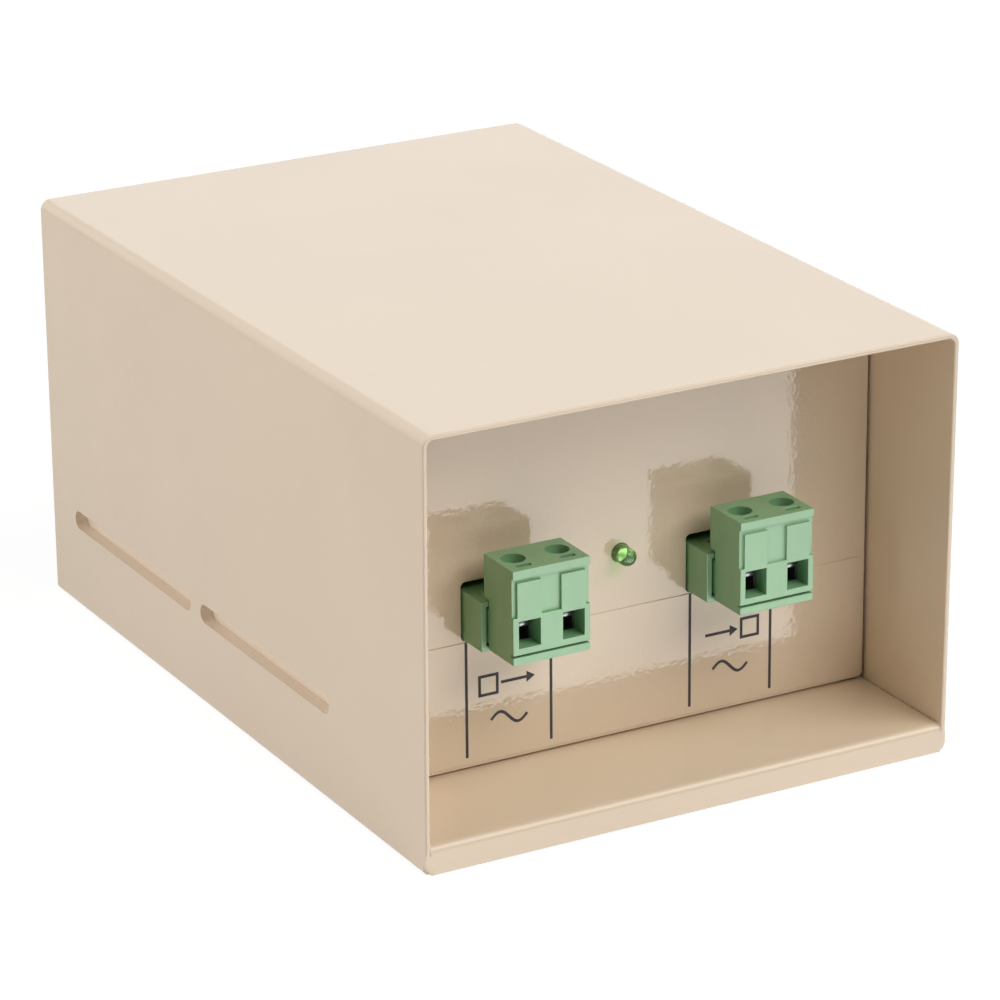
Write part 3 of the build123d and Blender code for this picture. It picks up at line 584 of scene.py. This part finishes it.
def stroke(points, width):
    """Quads along a line of points in the panel's plane, in millimetres."""
    quads = []
    sides = []
    for i, (x, z) in enumerate(points):
        before = Vector(points[max(i - 1, 0)])
        after = Vector(points[min(i + 1, len(points) - 1)])
        along = (after - before).normalized()
        across = Vector((-along.y, along.x)) * (width / 2)
        sides.append(((x + across.x, z + across.y), (x - across.x, z - across.y)))
    for (a, b), (c, d) in zip(sides, sides[1:]):
        quads.append((a, c, d, b))
    return quads


def box_sign(x, z, half):
    """Open square."""
    ways = [(-1, -1), (1, -1), (1, 1), (-1, 1)]
    hole = half - SIGN_WIDTH
    outer = [(x + a * half, z + b * half) for a, b in ways]
    inner = [(x + a * hole, z + b * hole) for a, b in ways]
    return [(outer[i - 1], outer[i], inner[i], inner[i - 1]) for i in (1, 2, 3, 0)]


def arrow_sign(x, z, length):
    """Arrow pointing right, with a filled head."""
    tip = x + length / 2
    neck = tip - ARROW_HEAD
    shapes = stroke([(x - length / 2, z), (neck, z)], SIGN_WIDTH)
    shapes.append(((neck, z + ARROW_SPREAD), (tip, z), (neck, z - ARROW_SPREAD)))
    return shapes


def wave_sign(x, z, length, height):
    """One period of a wave, the sign for alternating current."""
    points = []
    for i in range(WAVE_STEPS + 1):
        swing = math.sin(2 * math.pi * i / WAVE_STEPS)
        points.append((x + length * (i / WAVE_STEPS - 0.5), z + height / 2 * swing))
    return stroke(points, SIGN_WIDTH)


marks = []
for terminal, middle in TERMINAL_PLACES:
    for side in (-1, 1):
        x = middle + side * LINE_OFFSET
        marks += stroke([(x, LINE_BOTTOM), (x, label_top)], LINE_WIDTH)
    if terminal == "output":
        marks += box_sign(middle - BOX_OFFSET, SIGN_LEVEL, BOX_HALF)
        marks += arrow_sign(middle + ARROW_OFFSET, SIGN_LEVEL, ARROW_LENGTH)
    else:
        marks += arrow_sign(middle - ARROW_OFFSET, SIGN_LEVEL, ARROW_LENGTH)
        marks += box_sign(middle + BOX_OFFSET, SIGN_LEVEL, BOX_HALF)
    marks += wave_sign(middle, WAVE_LEVEL, WAVE_LENGTH, WAVE_HEIGHT)

shape = bmesh.new()
for outline in marks:
    corners = [shape.verts.new((x * MM, print_front, z * MM)) for x, z in outline]
    shape.faces.new(corners)
bmesh.ops.recalc_face_normals(shape, faces=shape.faces)
for face in shape.faces:
    if face.normal.y > 0:
        face.normal_flip()
mesh = bpy.data.meshes.new("panel_print")
shape.to_mesh(mesh)
shape.free()
panel_print = bpy.data.objects.new("panel_print", mesh)
scene.collection.objects.link(panel_print)
dress(panel_print, ink)
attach(panel_print, "case")


# Stage: floor, world and lights


def white_for_camera(tree):
    """One where the camera sees the surface directly, in a reflection or through glass."""
    path = tree.nodes.new("ShaderNodeLightPath")
    first = tree.nodes.new("ShaderNodeMath")
    first.operation = "MAXIMUM"
    tree.links.new(path.outputs["Is Camera Ray"], first.inputs[0])
    tree.links.new(path.outputs["Is Glossy Ray"], first.inputs[1])
    second = tree.nodes.new("ShaderNodeMath")
    second.operation = "MAXIMUM"
    tree.links.new(first.outputs[0], second.inputs[0])
    tree.links.new(path.outputs["Is Transmission Ray"], second.inputs[1])
    return second.outputs[0]


FLOOR_SIZE = 6.0
FLOOR_LEVEL = -0.0002
FLOOR_GREY = 0.72
FLOOR_GLOW = 1.2
FLOOR_GLOW_SHARE = 0.75
DOME_LEVEL = 0.02
BACKDROP_LEVEL = 1.0
WHITE = (1.0, 1.0, 1.0)
mesh = bpy.data.meshes.new("studio_floor")
half = FLOOR_SIZE / 2
corners = [(a * half, b * half, FLOOR_LEVEL) for a, b in ((-1, -1), (1, -1), (1, 1), (-1, 1))]
mesh.from_pydata(corners, [], [(0, 1, 2, 3)])
floor = bpy.data.objects.new("studio_floor", mesh)
scene.collection.objects.link(floor)
material = bpy.data.materials.new("studio_white")
material.use_nodes = True
tree = material.node_tree
tree.nodes.clear()
output = tree.nodes.new("ShaderNodeOutputMaterial")
plain = tree.nodes.new("ShaderNodeBsdfDiffuse")
plain.inputs["Color"].default_value = (FLOOR_GREY, FLOOR_GREY, FLOOR_GREY, 1.0)
bright = tree.nodes.new("ShaderNodeEmission")
bright.inputs["Strength"].default_value = FLOOR_GLOW
lift = tree.nodes.new("ShaderNodeMath")
lift.operation = "MULTIPLY"
lift.inputs[1].default_value = FLOOR_GLOW_SHARE
tree.links.new(white_for_camera(tree), lift.inputs[0])
blend = tree.nodes.new("ShaderNodeMixShader")
tree.links.new(lift.outputs[0], blend.inputs["Fac"])
tree.links.new(plain.outputs[0], blend.inputs[1])
tree.links.new(bright.outputs[0], blend.inputs[2])
tree.links.new(blend.outputs[0], output.inputs["Surface"])
mesh.materials.append(material)

world = bpy.data.worlds.new("studio")
scene.world = world
world.use_nodes = True
tree = world.node_tree
tree.nodes.clear()
output = tree.nodes.new("ShaderNodeOutputWorld")
dome = tree.nodes.new("ShaderNodeBackground")
dome.inputs["Color"].default_value = (*WHITE, 1.0)
dome.inputs["Strength"].default_value = DOME_LEVEL
backdrop = tree.nodes.new("ShaderNodeBackground")
backdrop.inputs["Color"].default_value = (*WHITE, 1.0)
backdrop.inputs["Strength"].default_value = BACKDROP_LEVEL
choice = tree.nodes.new("ShaderNodeMixShader")
tree.links.new(white_for_camera(tree), choice.inputs["Fac"])
tree.links.new(dome.outputs[0], choice.inputs[1])
tree.links.new(backdrop.outputs[0], choice.inputs[2])
tree.links.new(choice.outputs[0], output.inputs["Surface"])


def softbox(name, place, target, size, power, colour=WHITE):
    """Area light of this width and height aimed at a point, in metres and watts."""
    light = bpy.data.lights.new(name, "AREA")
    light.shape = "RECTANGLE"
    light.size, light.size_y = size
    light.energy = power
    light.color = colour
    lamp = bpy.data.objects.new(name, light)
    scene.collection.objects.link(lamp)
    lamp.location = place
    lamp.rotation_mode = "QUATERNION"
    lamp.rotation_quaternion = (Vector(target) - Vector(place)).to_track_quat("-Z", "Y")
    lamp.visible_camera = False
    return lamp


def reflection_card(name, place, target, size, radiance, colour=WHITE):
    """Add a softbox that only shows in glossy surfaces, with this brightness."""
    card = softbox(name, place, target, size, radiance * math.pi * size[0] * size[1], colour)
    card.visible_diffuse = False


AIM = (0.0, -0.02, 0.03)
softbox("key_softbox", (0.51, -0.84, 0.97), AIM, (1.2, 1.0), 15.4)
softbox("left_softbox", (-1.25, 0.0, 0.44), AIM, (1.0, 0.7), 5.55)
softbox("rear_softbox", (-0.78, 0.76, 0.80), AIM, (1.7, 1.7), 8.0)
softbox("top_softbox", (0.0, 0.1, 1.38), (0.0, 0.0, 0.03), (1.2, 1.2), 2.4)
CARD_PLACE = (0.0475, -0.1634)
CARD_LEVEL = 0.00005
COOL_WHITE = (0.94, 1.0, 1.06)
reflection_card("front_card", (*CARD_PLACE, CARD_LEVEL), (*CARD_PLACE, 1.0), (0.185, 0.1932), 2.8)
reflection_card("rear_card", (0.75, 1.35, 0.58), (0.0, 0.0, 0.07), (1.2, 1.2), 0.6, COOL_WHITE)


# Camera, at the photo's place

SENSOR_WIDTH = 36.0
FOCAL_LENGTH = 166.215
CAMERA_PLACE = (-0.33742, -0.61825, 0.29525)
CAMERA_RIGHT = (0.87404, -0.48577, -0.00882)
CAMERA_FORWARD = (0.45179, 0.81931, -0.35302)
camera_data = bpy.data.cameras.new("camera")
camera_data.sensor_width = SENSOR_WIDTH
camera_data.lens = FOCAL_LENGTH
camera_data.clip_start = 0.05
camera_data.clip_end = 20.0
camera = bpy.data.objects.new("camera", camera_data)
scene.collection.objects.link(camera)
right = Vector(CAMERA_RIGHT).normalized()
forward = Vector(CAMERA_FORWARD).normalized()
up = right.cross(forward)
camera.matrix_world = Matrix.Translation(CAMERA_PLACE) @ Matrix(
    (
        (right.x, up.x, -forward.x, 0.0),
        (right.y, up.y, -forward.y, 0.0),
        (right.z, up.z, -forward.z, 0.0),
        (0.0, 0.0, 0.0, 1.0),
    )
)
scene.camera = camera
scene.view_settings.view_transform = "Standard"
